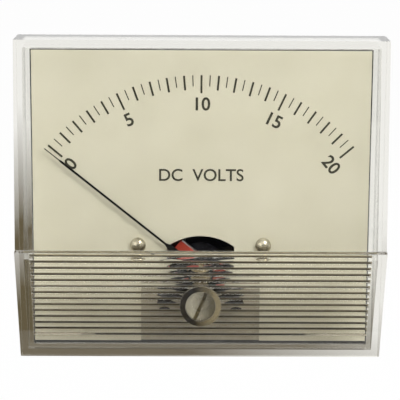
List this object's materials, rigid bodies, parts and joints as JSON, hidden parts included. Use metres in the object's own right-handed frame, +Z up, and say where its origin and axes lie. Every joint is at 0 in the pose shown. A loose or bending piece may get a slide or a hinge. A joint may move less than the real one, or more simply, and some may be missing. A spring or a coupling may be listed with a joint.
{
  "type": "analog panel meter",
  "caption": "Panel meter with a clear ribbed front, an ivory dial with a swinging pointer, a zero adjuster, a round black case and rear terminal studs.",
  "frame": {"origin": "on the barrel's axis at the back of the flange, where the meter meets its panel", "axes": "+Z up, +X to the right as seen from the front, the front faces -Y and the barrel points along +Y"},
  "size_m": [0.0888, 0.0584, 0.0792],
  "materials": {
    "clear_front": "clear moulded acrylic",
    "clear_adjuster": "clear moulded plastic",
    "case_black": "black moulded phenolic",
    "dial_enamel": "ivory matt enamel on sheet metal",
    "dial_print": "matt black print",
    "plate_grey": "grey-beige painted sheet",
    "screw_steel": "nickel-plated steel",
    "magnet_alloy": "ground magnet alloy",
    "pole_iron": "blackened soft iron",
    "brass": "turned and stamped brass",
    "coil_aluminium": "folded aluminium former",
    "coil_enamel": "red enamelled copper wire",
    "pointer_black": "matt black painted aluminium",
    "plated_steel": "zinc-plated steel",
    "spring_bronze": "phosphor bronze strip",
    "resistor_body": "tan lacquered resistor body",
    "lead_red": "red insulated wire",
    "lead_black": "black insulated wire"
  },
  "bodies": {
    "case": {"front_cover": "clear_front", "base_case": "case_black", "dial_plate": "dial_enamel", "scale_marks": "dial_print", "backing_plate": "plate_grey", "dial_screw_left": "screw_steel", "dial_screw_right": "screw_steel", "dial_post_left": "screw_steel", "dial_post_right": "screw_steel", "magnet": "magnet_alloy", "pole_piece_left": "pole_iron", "pole_piece_right": "pole_iron", "movement_screw_left": "screw_steel", "movement_screw_right": "screw_steel", "core": "pole_iron", "core_pins": "brass", "front_bridge": "pointer_black", "bridge_screw_left": "pointer_black", "bridge_screw_right": "pointer_black", "front_jewel_screw": "brass", "front_lock_nut": "brass", "pointer_stops": "screw_steel", "rear_bridge": "brass", "rear_bridge_screws": "screw_steel", "rear_jewel_screw": "brass", "rear_lock_nut": "brass", "rear_abutment": "brass", "front_hairspring": "spring_bronze", "rear_hairspring": "spring_bronze", "resistor": "resistor_body", "lead_left": "lead_red", "lead_right": "lead_black", "mounting_stud_1": "plated_steel", "mounting_stud_2": "plated_steel", "mounting_stud_3": "plated_steel", "mounting_stud_4": "plated_steel", "terminal_stud_left": "brass", "terminal_stud_right": "brass", "terminal_washer_left": "plated_steel", "terminal_washer_right": "plated_steel", "solder_lug_left": "plated_steel", "solder_lug_right": "plated_steel", "terminal_nut_left": "brass", "terminal_nut_right": "brass"},
    "moving_coil": {"coil_frame": "coil_aluminium", "coil_winding": "coil_enamel", "front_pivot": "screw_steel", "rear_pivot": "screw_steel", "pointer": "pointer_black", "balance_cross": "pointer_black", "balance_weights": "plated_steel"},
    "adjuster": {"zero_adjuster": "clear_adjuster"},
    "regulator": {"zero_arm": "brass"}
  },
  "joints": [
    {"name": "pointer_swing", "type": "hinge", "parent": "case", "child": "moving_coil", "pos_m": [0, 0, -0.0182], "axis": [0, 1, 0], "range_deg": [0, 102.4], "stiffness_Nm_per_rad": 0.00004, "deforming": ["front_hairspring", "rear_hairspring"]},
    {"name": "adjuster_turn", "type": "hinge", "parent": "case", "child": "adjuster", "pos_m": [0, 0, -0.0246], "axis": [0, 1, 0], "range_deg": [-40, 40]},
    {"name": "regulator_turn", "type": "hinge", "parent": "case", "child": "regulator", "pos_m": [0, 0, -0.0182], "axis": [0, 1, 0], "range_deg": [-12, 12]}
  ],
  "couplings": [
    {"joint": "regulator_turn", "follows": "adjuster_turn", "ratio": -0.29}
  ]
}
